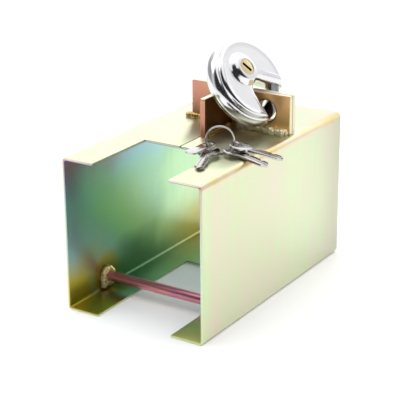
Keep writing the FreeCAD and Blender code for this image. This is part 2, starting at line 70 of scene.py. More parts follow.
# Camera of the photograph: where it stands round the box, and its picture
CAMERA_AZIMUTH = math.radians(32.91)
CAMERA_ELEVATION = math.radians(20.34)
CAMERA_ROLL = math.radians(-0.46)
CAMERA_DISTANCE = 1.0126
AIM_BEHIND_FRONT = 0.084
AIM_RIGHT = 0.0034
AIM_RISE = 0.0115
FOCAL_PIXELS = 1328.2
PICTURE_PIXELS = 400
SENSOR_MM = 36.0

# Eased edges: what counts as one point, as flat and as an edge, and how wide each kind is rounded
MERGE = 1e-6
FLAT_ANGLE = math.radians(0.4)
EDGE_ANGLE = math.radians(32)
EDGE_SEGMENTS = 2
SHEET_EDGE = 0.0003
PLATE_EDGE = 0.0006
PADLOCK_EDGE = 0.00025
KEY_EDGE = 0.0003

# Padlock's rim: a full round from the ledge at its face to the one at its back
DISC_R = 0.035
RIM_ROLL_R = 0.0319
RIM_ROLL_H = 0.0059
RIM_ROWS = 10

# Padlock's flat faces, and the shoulder between face and ledge as it comes and as it is drawn out
FACE_H = 0.0088
FACE_NEAR = MERGE * 10
FACE_MESH = 0.0016
FACE_SPLITS = 6
FACE_WEIGHT = 50
SHOULDER_H = 0.0027
SHOULDER_W = 0.0027
WIDE_SHOULDER_W = 0.0056
SHOULDER_FADE = 0.002

# Split ring: two turns of flat spring wire, nearly touching, with rounded corners
RING_HEADING = math.radians(31.4)
RING_TURNS = 2.0
RING_STEPS = 64
RING_WIRE_DEEP = 0.0013
RING_WIRE_WIDE = 0.0012
WIRE_FILL = 0.96
WIRE_ROUND = 0.35
WIRE_ROUND_STEPS = 4

# Weld beads: drops laid one over the other, where a bead's middle lies from its foot, and how far it runs
BEAD_R = 0.0026
BEAD_SIDES = 14
BEAD_STEP = 0.16
BEAD_TIP = 0.08
DROP = 0.0021
DROP_FALL = -0.10
SIZE_SCALE = 260.0
LUMP_SCALE = 620.0
TUCK = 0.0012
LIFT = 0.0017
RING_LIFT = LIFT + 0.0005
FOOT_STEPS = 24
SWAY = (1.9, 1.3, 0.9)
ROUND_STEPS = 60
ROUND_SWEEP = 372
LUG_REAR_STOP = 0.001
LUG_FRONT_START = 0.021
LUG_FRONT_STOP = 0.003
ROD_RUN_OUT = 0.002
ROD_RUN_FOOT = 0.0035
SOCKET_TUCK = 0.0008
SOCKET_OUT = 0.0004


def add(tree, kind, **settings):
    """A new node with its settings."""
    node = tree.nodes.new(kind)
    for key, value in settings.items():
        setattr(node, key, value)
    return node


def feed(tree, value, socket):
    """Puts a number, colour or another node's output into a socket."""
    if isinstance(value, bpy.types.NodeSocket):
        tree.links.new(value, socket)
    else:
        socket.default_value = value


def calc(tree, operation, a, b=None, c=None, clamp=False):
    """One step of arithmetic; gives its output socket."""
    node = add(tree, "ShaderNodeMath", operation=operation, use_clamp=clamp)
    for value, socket in zip((a, b, c), node.inputs):
        if value is not None:
            feed(tree, value, socket)
    return node.outputs[0]


def span(tree, value, low, high, to_low=0.0, to_high=1.0):
    """Maps a value from one range to another, eased at both ends."""
    node = add(tree, "ShaderNodeMapRange", interpolation_type="SMOOTHSTEP")
    feed(tree, value, node.inputs["Value"])
    node.inputs["From Min"].default_value = low
    node.inputs["From Max"].default_value = high
    node.inputs["To Min"].default_value = to_low
    node.inputs["To Max"].default_value = to_high
    return node.outputs["Result"]


def about_zero(tree, share):
    """A value from 0 to 1, moved to lie on both sides of zero."""
    return calc(tree, "SUBTRACT", share, 0.5)


def blend_value(tree, share, a, b):
    """a where share is 0 and b where it is 1, for numbers."""
    node = add(tree, "ShaderNodeMix", data_type="FLOAT")
    feed(tree, share, node.inputs[0])
    feed(tree, a, node.inputs[2])
    feed(tree, b, node.inputs[3])
    return node.outputs[0]


def tinted(tree, share, a, b, how="MIX"):
    """a where share is 0 and b, or both together, where it is 1, for colours."""
    node = add(tree, "ShaderNodeMix", data_type="RGBA", blend_type=how)
    feed(tree, share, node.inputs[0])
    feed(tree, a, node.inputs[6])
    feed(tree, b, node.inputs[7])
    return node.outputs[2]


def noise(tree, vector, scale, detail=3.0, roughness=0.5, distortion=0.0):
    """Soft noise from 0 to 1."""
    node = add(tree, "ShaderNodeTexNoise")
    feed(tree, vector, node.inputs["Vector"])
    node.inputs["Scale"].default_value = scale
    node.inputs["Detail"].default_value = detail
    node.inputs["Roughness"].default_value = roughness
    node.inputs["Distortion"].default_value = distortion
    return node.outputs["Fac"]


def stretched(tree, vector, scale):
    """The same places with each axis scaled by itself."""
    node = add(tree, "ShaderNodeMapping")
    feed(tree, vector, node.inputs["Vector"])
    node.inputs["Scale"].default_value = scale
    return node.outputs["Vector"]


def ramp(tree, value, stops):
    """Colour by value from (place, colour) stops."""
    node = add(tree, "ShaderNodeValToRGB")
    feed(tree, value, node.inputs["Fac"])
    node.color_ramp.interpolation = "CARDINAL"
    elements = node.color_ramp.elements
    while len(elements) < len(stops):
        elements.new(0.5)
    for element, (place, colour) in zip(elements, stops):
        element.position = place
        element.color = (*colour, 1.0)
    return node.outputs["Color"]


def axes_of(tree, vector):
    """The x, y and z of a vector."""
    node = add(tree, "ShaderNodeSeparateXYZ")
    tree.links.new(vector, node.inputs[0])
    return node.outputs


def measured(tree, operation, vector, other):
    """One number from a vector and a fixed one, such as a distance or a dot product."""
    node = add(tree, "ShaderNodeVectorMath", operation=operation)
    tree.links.new(vector, node.inputs[0])
    node.inputs[1].default_value = other
    return node.outputs["Value"]


def new_group(name, inputs, outputs):
    """An empty shader group; inputs are (name, kind, value), outputs (name, kind)."""
    group = bpy.data.node_groups.new(name, "ShaderNodeTree")
    for label, kind, value in inputs:
        socket = group.interface.new_socket(label, in_out="INPUT", socket_type=kind)
        if value is not None:
            socket.default_value = value
    for label, kind in outputs:
        group.interface.new_socket(label, in_out="OUTPUT", socket_type=kind)
    return group, add(group, "NodeGroupInput"), add(group, "NodeGroupOutput")


def place_group(tree, group, **values):
    """The group as a node in a material, with its inputs set."""
    node = add(tree, "ShaderNodeGroup", node_tree=group)
    for label, value in values.items():
        feed(tree, value, node.inputs[label])
    return node


# Colours of the passivated zinc film by its thickness: straw, rose, blue, green, pale, then gold and brown
FILM_STOPS = (
    (0.00, (0.84, 0.80, 0.60)),
    (0.10, (0.88, 0.64, 0.25)),
    (0.20, (0.90, 0.50, 0.26)),
    (0.28, (0.66, 0.25, 0.34)),
    (0.36, (0.46, 0.38, 0.56)),
    (0.44, (0.40, 0.58, 0.68)),
    (0.52, (0.39, 0.66, 0.57)),
    (0.60, (0.42, 0.69, 0.44)),
    (0.68, (0.57, 0.80, 0.48)),
    (0.75, (0.65, 0.72, 0.475)),
    (0.80, (0.72, 0.67, 0.52)),
    (0.84, (0.75, 0.65, 0.41)),
    (0.89, (0.74, 0.58, 0.16)),
    (0.94, (0.62, 0.38, 0.12)),
    (1.00, (0.50, 0.26, 0.14)),
)
OLIVE_GOLD = (0.60, 0.48, 0.05, 1.0)
# Deep green laid over the film inside the box: painted shade
PAINTED_SHADE_GREEN = (0.04, 0.13, 0.035, 1.0)
# Brown over the film: heat tint by the welds, and painted shade on the guard and round the lug hole
HEAT_AND_SHADE_BROWN = (0.15, 0.07, 0.035, 1.0)

# Gloss of the film, how far its clouds and streaks change it, and the way the streaks are drawn
FILM_ROUGH = 0.335
CLOUD_ROUGH = 0.08
STREAK_ROUGH = 0.05
STREAK_STRETCH = (60, 75, 5)

# Polished metal: where haze turns from more gloss to less, how much it shades, and the marks' grain
HAZE_MIDDLE = 0.45
HAZE_SHADE = -0.10
POLISH_STRETCH = (900, 900, 5200)


def film_group():
    """Zinc film: colour and gloss from its thickness, with clouds and streaks, browning from heat tint and painted
    shade, and a deep green painted shade.
    """
    group, inside, outside = new_group(
        "zinc_film",
        [("Place", "NodeSocketVector", None), ("Thickness", "NodeSocketFloat", 0.9),
         ("Clouds", "NodeSocketFloat", 0.05), ("Streaks", "NodeSocketFloat", 0.05),
         # Deep darkens the film to a deep green: painted shade
         ("Gold", "NodeSocketFloat", 0.0), ("Deep", "NodeSocketFloat", 0.0),
         # Heat browns the film: heat tint by the welds, and painted shade
         ("Heat", "NodeSocketFloat", 0.0)],
        [("Color", "NodeSocketColor"), ("Roughness", "NodeSocketFloat"), ("Height", "NodeSocketFloat")])
    place = inside.outputs["Place"]
    clouds = about_zero(group, noise(group, place, scale=28, detail=4, roughness=0.55, distortion=0.6))
    drawn = stretched(group, place, STREAK_STRETCH)
    streaks = about_zero(group, noise(group, drawn, scale=1.0, detail=4, roughness=0.6))
    thick = calc(group, "MULTIPLY_ADD", clouds, inside.outputs["Clouds"], inside.outputs["Thickness"])
    thick = calc(group, "MULTIPLY_ADD", streaks, inside.outputs["Streaks"], thick, clamp=True)
    colour = ramp(group, thick, FILM_STOPS)
    # Over the film's colour: gold, deep green painted shade, and brown for heat tint and painted shade
    for mask, tone in (("Gold", OLIVE_GOLD), ("Deep", PAINTED_SHADE_GREEN), ("Heat", HEAT_AND_SHADE_BROWN)):
        colour = tinted(group, inside.outputs[mask], colour, tone)
    rough = calc(group, "MULTIPLY_ADD", clouds, CLOUD_ROUGH, FILM_ROUGH)
    rough = calc(group, "MULTIPLY_ADD", streaks, STREAK_ROUGH, rough)
    group.links.new(colour, outside.inputs["Color"])
    group.links.new(rough, outside.inputs["Roughness"])
    group.links.new(noise(group, place, scale=32, detail=2), outside.inputs["Height"])
    return group


def polish_group():
    """Fine polishing marks and handling haze on bright metal."""
    group, inside, outside = new_group(
        "polish_marks",
        [("Place", "NodeSocketVector", None), ("Roughness", "NodeSocketFloat", 0.1),
         ("Haze", "NodeSocketFloat", 0.06)],
        [("Roughness", "NodeSocketFloat"), ("Shade", "NodeSocketFloat"), ("Height", "NodeSocketFloat")])
    place = inside.outputs["Place"]
    haze = calc(group, "SUBTRACT", noise(group, place, scale=70, detail=4, roughness=0.6), HAZE_MIDDLE)
    marks = noise(group, stretched(group, place, POLISH_STRETCH), scale=1.0, detail=2)
    rough = calc(group, "MULTIPLY_ADD", haze, inside.outputs["Haze"], inside.outputs["Roughness"], clamp=True)
    group.links.new(rough, outside.inputs["Roughness"])
    group.links.new(calc(group, "MULTIPLY_ADD", haze, HAZE_SHADE, 1.0), outside.inputs["Shade"])
    group.links.new(marks, outside.inputs["Height"])
    return group


FILM = film_group()
POLISH = polish_group()


def new_material(name, metallic):
    """A material with its Principled shader; gives material, tree, shader and object coordinates."""
    material = bpy.data.materials.new(name)
    material.use_nodes = True
    tree = material.node_tree
    shader = tree.nodes["Principled BSDF"]
    shader.inputs["Metallic"].default_value = metallic
    place = add(tree, "ShaderNodeTexCoord").outputs["Object"]
    return material, tree, shader, place


def bumped(tree, shader, height, strength, distance):
    """Fine relief from a height."""
    node = add(tree, "ShaderNodeBump")
    node.inputs["Strength"].default_value = strength
    node.inputs["Distance"].default_value = distance
    feed(tree, height, node.inputs["Height"])
    tree.links.new(node.outputs["Normal"], shader.inputs["Normal"])


def zinc_material(name, film_at, clouds, streaks, metallic=1.0):
    """Passivated zinc; film_at takes (tree, place) and gives thickness, heat tint and painted shade, gold, and
    deep green painted shade.
    """
    material, tree, shader, place = new_material(name, metallic)
    thick, heat, gold, painted_shade = film_at(tree, place)
    film = place_group(tree, FILM, Place=place, Thickness=thick, Clouds=clouds, Streaks=streaks,
                       Heat=heat, Gold=gold, Deep=painted_shade)
    tree.links.new(film.outputs["Color"], shader.inputs["Base Color"])
    tree.links.new(film.outputs["Roughness"], shader.inputs["Roughness"])
    bumped(tree, shader, film.outputs["Height"], strength=0.15, distance=0.0006)
    return material


# Bands of film and of deep green painted shade on the folded sheet: from one place to another, in metres, and the
# value at each
FRONT_TO_REAR = (FRONT, BACK - 0.03, 0.505, 0.66)
UNDER_TOP = (TOP - 0.055, TOP - 0.005, 0.0, -0.17)
OUTSIDE_BEND = (0.003, 0.007, 0.85, 0.765)
LEFT_SIDE = (LEFT + 0.04, RIGHT - 0.04, 1.0, 0.0)
LOW_FLANGE = (0.004, 0.012, 1.0, 0.0)
GOLD_AT_FRONT = (FRONT + 0.02, FRONT + 0.05, 1.0, 0.0)
GOLD_AT_REAR = (0.02, 0.075, 0.0, 0.8)
GOLD_LOW_DOWN = (0.018, 0.052, 1.0, 0.0)
GOLD_ROUND_WELD = (0.012, 0.024, 0.9, 0.0)
# Deep green painted shade: low down inside the fold and along the middle of the left wall inside
SHADE_PAINTED_LOW_DOWN = (0.008, 0.045, 0.78, 0.0)
SHADE_PAINTED_FROM_FRONT = (-0.075, -0.04, 0.0, 1.0)
SHADE_PAINTED_TO_REAR = (0.02, 0.08, 1.0, 0.35)
SHADE_PAINTED_WALL_FRONT = (-0.09, -0.05, 0.3, 1.0)
SHADE_PAINTED_WALL_REAR = (-0.01, 0.05, 0.2, 0.0)
BROWN_ON_FLANGE = (0.003, 0.009, 0.2, 0.0)
BROWN_TO_REAR = (-0.06, -0.03, 1.0, 0.3)
BROWN_ROUND_WELD = (0.007, 0.018, 0.45, 0.0)

# Sheet: depth of what counts as outside, how far bands waver, the right flange's film, gold by side
SKIN = 0.0012
WAVER_ALONG = 0.06
WAVER_UP = 0.05
WAVER_ROUND_WELD = 0.012
RIGHT_FLANGE_FILM = 0.73
GOLD_RIGHT = 0.6
GOLD_LEFT_MORE = 0.4

# Plates: how square on a face has to look, where its film changes upwards and from the left, and edges
SQUARE_ON = (0.4, 0.8)
PLATE_UP = (TOP, TOP + 0.03)
PLATE_LEFT = (LEFT + 0.02, LEFT + 0.06)
PLATE_WAVER = 0.02
LEFT_HEAT = 4
TOP_EDGE_FILM = 0.79
# Painted shade in and round the hole in the lugs: out from the hole's axis, where it fades, and how dark
HOLE_PAINTED_SHADE = (0.0086, 0.0098, 0.92, 0.0)


def sheet_film(tree, place):
    """Folded sheet: pale outside; inside blue at the top, green below, gold low down, brown by the weld, and deep
    green painted shade low in the fold and on the left wall.
    """
    x, y, z = axes_of(tree, place)
    to_wall = calc(tree, "MINIMUM", calc(tree, "SUBTRACT", x, LEFT), calc(tree, "SUBTRACT", RIGHT, x))
    to_top = calc(tree, "SUBTRACT", TOP, z)
    depth = calc(tree, "MINIMUM", to_wall, calc(tree, "SUBTRACT", BACK, y))
    depth = calc(tree, "MINIMUM", depth, calc(tree, "MINIMUM", z, to_top))
    is_inside = calc(tree, "GREATER_THAN", depth, SKIN)
    to_left = span(tree, x, *LEFT_SIDE)

    waver = about_zero(tree, noise(tree, place, scale=11, detail=3, roughness=0.5, distortion=0.4))
    along = calc(tree, "MULTIPLY_ADD", waver, WAVER_ALONG, y)
    high = calc(tree, "MULTIPLY_ADD", waver, WAVER_UP, z)
    rod_weld = measured(tree, "DISTANCE", place, ROD_WELD_AT)
    round_weld = calc(tree, "MULTIPLY_ADD", waver, WAVER_ROUND_WELD, rod_weld)

    inner = calc(tree, "ADD", span(tree, along, *FRONT_TO_REAR), span(tree, high, *UNDER_TOP))
    to_right = calc(tree, "SUBTRACT", 1.0, to_left)
    right_flange = calc(tree, "MULTIPLY", span(tree, z, *LOW_FLANGE), to_right)
    inner = blend_value(tree, right_flange, inner, RIGHT_FLANGE_FILM)
    outer = span(tree, calc(tree, "MAXIMUM", to_wall, to_top), *OUTSIDE_BEND)
    thick = blend_value(tree, is_inside, outer, inner)

    ends = calc(tree, "MAXIMUM", span(tree, along, *GOLD_AT_FRONT), span(tree, along, *GOLD_AT_REAR))
    low = calc(tree, "MULTIPLY", span(tree, high, *GOLD_LOW_DOWN), ends)
    low = calc(tree, "MULTIPLY", low, calc(tree, "MULTIPLY_ADD", to_left, GOLD_LEFT_MORE, GOLD_RIGHT))
    gold = calc(tree, "MAXIMUM", low, span(tree, round_weld, *GOLD_ROUND_WELD))

    # Painted shade: deep green low in the fold and along the left wall inside, in the left half only
    fold = calc(tree, "MULTIPLY", span(tree, high, *SHADE_PAINTED_LOW_DOWN), span(tree, along, *SHADE_PAINTED_FROM_FRONT))
    fold = calc(tree, "MULTIPLY", fold, span(tree, along, *SHADE_PAINTED_TO_REAR))
    wall = calc(tree, "MULTIPLY", span(tree, along, *SHADE_PAINTED_WALL_FRONT), span(tree, along, *SHADE_PAINTED_WALL_REAR))
    painted_shade = calc(tree, "MULTIPLY", calc(tree, "MAXIMUM", fold, wall), to_left)

    flange = calc(tree, "MULTIPLY", span(tree, z, *BROWN_ON_FLANGE), span(tree, y, *BROWN_TO_REAR))
    heat = calc(tree, "MULTIPLY", flange, to_left)
    heat = calc(tree, "MAXIMUM", heat, span(tree, rod_weld, *BROWN_ROUND_WELD))
    return (thick, *(calc(tree, "MULTIPLY", is_inside, mask) for mask in (heat, gold, painted_shade)))


def from_hole(tree, x, z):
    """How far a place is from the axis of the hole in the lugs."""
    across = calc(tree, "SUBTRACT", x, LUG_HOLE_AT[0])
    up = calc(tree, "SUBTRACT", z, LUG_HOLE_AT[1])
    return calc(tree, "SQRT", calc(tree, "MULTIPLY_ADD", across, across, calc(tree, "MULTIPLY", up, up)))


def plate_film(broad, low, high, left, browned_and_shaded, ends):
    """Thick plate: film on its broad faces from low to high, its own on the ends, pale on the top edge."""
    def film_at(tree, place):
        normal = axes_of(tree, add(tree, "ShaderNodeNewGeometry").outputs["Normal"])
        is_face = span(tree, calc(tree, "ABSOLUTE", normal[broad]), *SQUARE_ON)
        is_end = span(tree, calc(tree, "ABSOLUTE", normal[1 - broad]), *SQUARE_ON)
        x, _, z = axes_of(tree, place)
        waver = about_zero(tree, noise(tree, place, scale=24, detail=3, roughness=0.5, distortion=0.5))
        rise = calc(tree, "MULTIPLY_ADD", waver, PLATE_WAVER, z)
        face = calc(tree, "ADD", span(tree, rise, *PLATE_UP, low, high), span(tree, x, *PLATE_LEFT, left, 0.0))
        # Brown from low to high on the broad faces: heat tint, and on the guard also painted shade from the
        # padlock
        heat = calc(tree, "MULTIPLY", is_face, span(tree, rise, *PLATE_UP, *browned_and_shaded))
        at_left = calc(tree, "MULTIPLY", is_face, span(tree, x, *PLATE_LEFT, LEFT_HEAT * left, 0.0))
        heat = calc(tree, "MAXIMUM", heat, at_left)
        # Painted shade in and round the lug hole, added to the heat browning
        heat = calc(tree, "MAXIMUM", heat, span(tree, from_hole(tree, x, z), *HOLE_PAINTED_SHADE))
        edge = blend_value(tree, is_end, TOP_EDGE_FILM, ends)
        return blend_value(tree, is_face, edge, face), heat, 0.0, 0.0
    return film_at


def even_film(thickness, heat):
    """The same film all over."""
    return lambda tree, place: (thickness, heat, 0.0, 0.0)


def polished_material(name, colour, roughness, haze):
    """Bright metal with polishing marks."""
    material, tree, shader, place = new_material(name, 1.0)
    marks = place_group(tree, POLISH, Place=place, Roughness=roughness, Haze=haze)
    shaded = tinted(tree, 1.0, (*colour, 1.0), marks.outputs["Shade"], how="MULTIPLY")
    tree.links.new(shaded, shader.inputs["Base Color"])
    tree.links.new(marks.outputs["Roughness"], shader.inputs["Roughness"])
    bumped(tree, shader, marks.outputs["Height"], strength=0.03, distance=0.0001)
    return material


LUG_FILM = plate_film(broad=1, low=0.15, high=0.17, left=0.08, browned_and_shaded=(0.0, 0.0), ends=0.78)
# Guard: browned nearly all over its broad faces, heat tint at its foot and painted shade from the padlock
GUARD_FILM = plate_film(broad=0, low=0.12, high=0.18, left=0.0, browned_and_shaded=(0.9, 0.8), ends=0.225)

MATERIALS = {
    "sheet": zinc_material("zinc_sheet", sheet_film, clouds=0.10, streaks=0.12, metallic=0.99),
    "lug": zinc_material("zinc_lug", LUG_FILM, clouds=0.10, streaks=0.05, metallic=0.85),
    "guard": zinc_material("zinc_guard", GUARD_FILM, clouds=0.08, streaks=0.05),
    "rod": zinc_material("zinc_rod", even_film(0.275, 0.12), clouds=0.10, streaks=0.10, metallic=0.85),
    "weld": zinc_material("zinc_weld", even_film(0.03, 0.0), clouds=0.12, streaks=0.05, metallic=0.8),
    "gold_weld": zinc_material("gold_weld", even_film(0.06, 0.1), clouds=0.12, streaks=0.05, metallic=0.8),
    "dark_weld": zinc_material("browned_weld", even_film(0.10, 0.45), clouds=0.12, streaks=0.05),
    "stainless": polished_material("stainless", (0.74, 0.74, 0.76), roughness=0.15, haze=0.08),
    "case": polished_material("case_casting", (0.42, 0.42, 0.43), roughness=0.45, haze=0.20),
    # Shackle darkened well below bright steel: painted shade where it sits among the lugs
    "shackle": polished_material("shackle_steel_painted_shade", (0.22, 0.22, 0.23), roughness=0.12, haze=0.10),
    "brass": polished_material("brass", (0.64, 0.54, 0.30), roughness=0.14, haze=0.16),
    "steel": polished_material("hard_steel", (0.50, 0.50, 0.51), roughness=0.32, haze=0.15),
    "nickel": polished_material("nickel", (0.54, 0.52, 0.50), roughness=0.15, haze=0.14),
}

MATERIAL_OF = {
    "left_shell": "sheet", "right_shell": "sheet",
    "left_lug": "lug", "right_lug": "lug", "guard_plate": "guard",
    "retaining_rod": "rod", "rod_socket": "rod",
    "rod_weld": "gold_weld", "left_lug_weld": "dark_weld", "right_lug_weld": "weld",
    "guard_weld": "dark_weld", "socket_weld": "gold_weld",
    "padlock_front_shell": "stainless", "padlock_rear_shell": "stainless", "shackle": "shackle",
    "case_front": "case", "case_rear": "case",
    "cylinder_housing": "brass", "cylinder_plug": "brass",
    "drive_cam": "steel", "cam_screw": "steel",
    "key_ring": "nickel", "key_1": "nickel", "key_2": "nickel", "key_3": "nickel", "key_tag": "nickel",
}


def new_piece(name, mesh):
    """An object at the origin, in the scene."""
    piece = bpy.data.objects.new(name, mesh)
    bpy.context.scene.collection.objects.link(piece)
    return piece


def shown_mesh(piece):
    """A plain mesh of a piece with its modifiers."""
    return bpy.data.meshes.new_from_object(piece.evaluated_get(bpy.context.evaluated_depsgraph_get()))


def plain_mesh(piece):
    """Turns a piece with its modifiers into a plain mesh."""
    mesh = shown_mesh(piece)
    piece.modifiers.clear()
    piece.data = mesh


def dress(piece, node):
    """Gives a piece that stands for a node its body and material, and hides the node."""
    piece.data.materials.clear()
    piece.data.materials.append(MATERIALS[MATERIAL_OF[node]])
    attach(piece, BODY_OF[node])
    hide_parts(node)


def merged(node):
    """A copy of the node's mesh to work on, with its loose triangles joined."""
    work = bmesh.new()
    work.from_mesh(frame["nodes"][node].data)
    bmesh.ops.remove_doubles(work, verts=work.verts, dist=MERGE)
    return work


def smooth_mesh(name, work):
    """The worked mesh with outward, smooth faces."""
    bmesh.ops.recalc_face_normals(work, faces=work.faces)
    mesh = bpy.data.meshes.new(name)
    work.to_mesh(mesh)
    work.free()
    mesh.shade_smooth()
    return mesh


def eased(node, name, width):
    """The node's shape with its sharp edges a little rounded; thick plates keep their broad faces flat."""
    work = merged(node)
    bmesh.ops.dissolve_limit(work, angle_limit=FLAT_ANGLE, verts=work.verts, edges=work.edges)
    piece = new_piece(name, smooth_mesh(name, work))
    bevel = piece.modifiers.new("edges", "BEVEL")
    bevel.width = width
    bevel.segments = EDGE_SEGMENTS
    bevel.limit_method = "ANGLE"
    bevel.angle_limit = EDGE_ANGLE
    bevel.harden_normals = True
    if width == PLATE_EDGE:
        bevel.face_strength_mode = "FSTR_AFFECTED"
        piece.modifiers.new("flat_faces", "WEIGHTED_NORMAL").use_face_influence = True
    plain_mesh(piece)
    dress(piece, node)


def shoulder_height(radius, width):
    """Height of the padlock's face at a radius, with a rounded shoulder of this width before the ledge."""
    along = min(1.0, max(0.0, (radius - RIM_ROLL_R + width) / width))
    return FACE_H - SHOULDER_H + SHOULDER_H * math.sqrt(1 - along * along)


def on_flat_face(edge):
    """Whether an edge lies in the padlock's flat face, front or rear."""
    heights = [abs((vert.co - PADLOCK_CENTRE).dot(FACE_OUT)) for vert in edge.verts]
    return all(abs(height - FACE_H) < FACE_NEAR for height in heights)


def drawn_out(place):
    """Where a point of the padlock's shell goes when the rim is rolled and the shoulder is widened."""
    out = place - PADLOCK_CENTRE
    height = out.dot(FACE_OUT)
    flat = out - FACE_OUT * height
    if flat.length > RIM_ROLL_R and abs(height) < RIM_ROLL_H:
        rolled = RIM_ROLL_R + (DISC_R - RIM_ROLL_R) * math.sqrt(1 - (height / RIM_ROLL_H) ** 2)
        flat *= min(1.0, rolled / flat.length)
    elif flat.length > RIM_ROLL_R - WIDE_SHOULDER_W:
        level = shoulder_height(flat.length, SHOULDER_W)
        share = min(1.0, max(0.0, 1 - (level - abs(height)) / SHOULDER_FADE))
        height += math.copysign(share * (shoulder_height(flat.length, WIDE_SHOULDER_W) - level), height)
    return PADLOCK_CENTRE + FACE_OUT * height + flat


def pressed(node, name):
    """The node's shape with flat faces kept flat and its rim drawn to a full round."""
    work = merged(node)
    for row in [side * RIM_ROLL_H * step / RIM_ROWS for side in (-1, 1) for step in range(1, RIM_ROWS)]:
        bmesh.ops.bisect_plane(work, geom=work.verts[:] + work.edges[:] + work.faces[:],
                               plane_co=PADLOCK_CENTRE + FACE_OUT * row, plane_no=FACE_OUT)
    for _ in range(FACE_SPLITS):
        far = [edge for edge in work.edges if on_flat_face(edge) and edge.calc_length() > FACE_MESH]
        bmesh.ops.subdivide_edges(work, edges=far, cuts=1)
        bmesh.ops.triangulate(work, faces=[face for face in work.faces if len(face.verts) > 3])
    for vert in work.verts:
        vert.co = drawn_out(vert.co)
    mesh = smooth_mesh(name, work)
    mesh.set_sharp_from_angle(angle=EDGE_ANGLE)
    piece = new_piece(name, mesh)
    even = piece.modifiers.new("flat_faces", "WEIGHTED_NORMAL")
    even.keep_sharp = True
    even.weight = FACE_WEIGHT
    plain_mesh(piece)
    dress(piece, node)


EASED = {
    "left_shell": SHEET_EDGE, "right_shell": SHEET_EDGE,
    "left_lug": PLATE_EDGE, "right_lug": PLATE_EDGE, "guard_plate": PLATE_EDGE,
    "retaining_rod": SHEET_EDGE, "rod_socket": SHEET_EDGE, "cylinder_plug": PADLOCK_EDGE,
    "key_1": KEY_EDGE, "key_2": KEY_EDGE, "key_3": KEY_EDGE, "key_tag": KEY_EDGE,
}
for node, edge in EASED.items():
    eased(node, node + "_eased", edge)
for node in ("padlock_front_shell", "padlock_rear_shell"):
    pressed(node, node + "_pressed")


def new_tree(name, inputs):
    """An empty geometry tree; inputs are (name, kind, value)."""
    tree = bpy.data.node_groups.new(name, "GeometryNodeTree")
    for label, kind, value in inputs:
        socket = tree.interface.new_socket(label, in_out="INPUT", socket_type=kind)
        if value is not None:
            socket.default_value = value
    tree.interface.new_socket("Geometry", in_out="OUTPUT", socket_type="NodeSocketGeometry")
    return tree, add(tree, "NodeGroupInput").outputs, add(tree, "NodeGroupOutput").inputs


def place_node(tree, kind, values, **settings):
    """A node with its inputs fed by name."""
    node = add(tree, kind, **settings)
    for label, value in values.items():
        feed(tree, value, node.inputs[label])
    return node


def close_tree(tree, mesh, material, out):
    """Ends a tree with smooth faces, real instances and the material."""
    smooth = place_node(tree, "GeometryNodeSetShadeSmooth", {"Geometry": mesh})
    real = place_node(tree, "GeometryNodeRealizeInstances", {"Geometry": smooth.outputs[0]})
    dressed = place_node(tree, "GeometryNodeSetMaterial", {"Geometry": real.outputs[0], "Material": material})
    tree.links.new(dressed.outputs[0], out["Geometry"])


def seeded_noise(tree, place, seed, scale, detail):
    """Noise on both sides of zero that a seed changes."""
    node = place_node(tree, "ShaderNodeTexNoise", {
        "Vector": place, "W": seed, "Scale": scale, "Detail": detail}, noise_dimensions="4D")
    return about_zero(tree, node.outputs[0])


def weld_tree():
    """Weld bead along a path: overlapping drops of uneven size, rounded off at both ends."""
    tree, given, out = new_tree("weld_bead", [
        ("Path", "NodeSocketGeometry", None), ("Radius", "NodeSocketFloat", BEAD_R),
        ("Drop", "NodeSocketFloat", DROP), ("Uneven", "NodeSocketFloat", 0.5),
        ("Seed", "NodeSocketFloat", 0.0), ("Material", "NodeSocketMaterial", None)])
    step = calc(tree, "MULTIPLY", given["Drop"], BEAD_STEP)
    path = place_node(tree, "GeometryNodeResampleCurve", {
        "Curve": given["Path"], "Length": step}, mode="LENGTH")
    run = add(tree, "GeometryNodeSplineParameter").outputs["Length"]
    whole = add(tree, "GeometryNodeSplineLength").outputs["Length"]
    place = add(tree, "GeometryNodeInputPosition").outputs[0]

    drop = calc(tree, "FRACT", calc(tree, "DIVIDE", run, given["Drop"]))
    crest = calc(tree, "MULTIPLY_ADD", calc(tree, "POWER", drop, 2.0), DROP_FALL, 1.0)
    size = seeded_noise(tree, place, given["Seed"], SIZE_SCALE, detail=2.0)
    size = calc(tree, "MULTIPLY_ADD", size, given["Uneven"], crest)
    to_end = calc(tree, "MINIMUM", run, calc(tree, "SUBTRACT", whole, run))
    left = calc(tree, "SUBTRACT", 1.0, calc(tree, "DIVIDE", to_end, given["Radius"], clamp=True))
    bulge = calc(tree, "SUBTRACT", 1.0, calc(tree, "MULTIPLY", left, left), clamp=True)
    scale = calc(tree, "MULTIPLY", size, calc(tree, "MAXIMUM", calc(tree, "SQRT", bulge), BEAD_TIP))
    ring = place_node(tree, "GeometryNodeCurvePrimitiveCircle", {
        "Resolution": BEAD_SIDES, "Radius": given["Radius"]})
    bead = place_node(tree, "GeometryNodeCurveToMesh", {
        "Curve": path.outputs[0], "Profile Curve": ring.outputs[0], "Scale": scale, "Fill Caps": True})

    lumps = seeded_noise(tree, place, given["Seed"], LUMP_SCALE, detail=1.0)
    push = calc(tree, "MULTIPLY", calc(tree, "MULTIPLY", lumps, given["Radius"]), given["Uneven"])
    offset = add(tree, "ShaderNodeVectorMath", operation="SCALE")
    tree.links.new(add(tree, "GeometryNodeInputNormal").outputs[0], offset.inputs[0])
    tree.links.new(push, offset.inputs["Scale"])
    lumpy = place_node(tree, "GeometryNodeSetPosition", {
        "Geometry": bead.outputs[0], "Offset": offset.outputs[0]})
    close_tree(tree, lumpy.outputs[0], given["Material"], out)
    return tree


